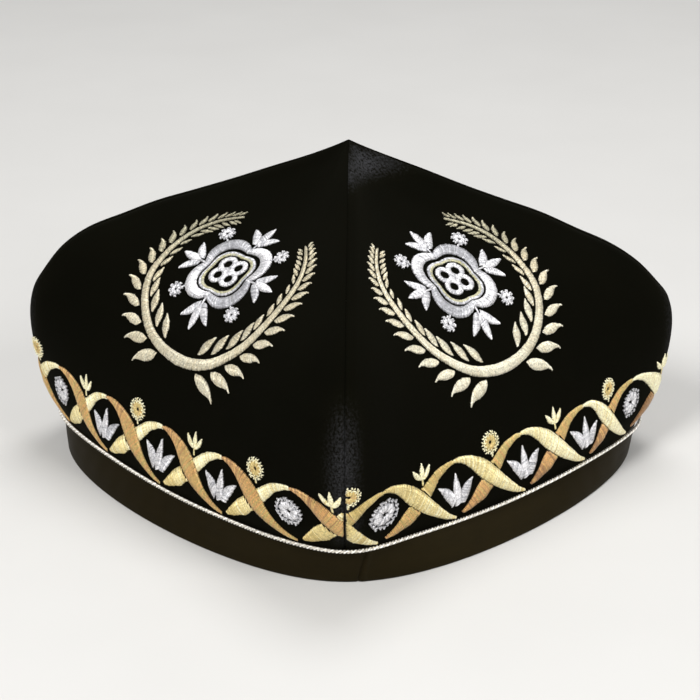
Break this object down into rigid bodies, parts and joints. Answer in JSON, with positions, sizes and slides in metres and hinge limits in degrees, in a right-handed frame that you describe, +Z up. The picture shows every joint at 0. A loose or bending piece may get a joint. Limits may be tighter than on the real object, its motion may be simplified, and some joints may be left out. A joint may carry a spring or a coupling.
{
  "type": "tubeteika skullcap",
  "caption": "Four-cornered peaked skullcap of dark velvet, embroidered with a twined border and wreathed flowers, on a plain satin band.",
  "frame": {"origin": "centre of the base, on the plane of the rim", "axes": "+Z up from the rim to the peak, -Y towards the front corner, +X towards the right-hand corner as the front faces the viewer; the four corner seams lie over the X and Y axes"},
  "size_m": [0.2186, 0.2185, 0.109],
  "materials": {
    "velvet": "black velvet pile, embroidered in gold and silver thread",
    "satin_band": "dark satin, slightly glossy",
    "cord": "twisted silver thread"
  },
  "bodies": {
    "root": {"crown_front_left": "velvet", "crown_front_right": "velvet", "crown_back_right": "velvet", "crown_back_left": "velvet", "head_band": "satin_band", "silver_cord": "cord"}
  },
  "joints": []
}
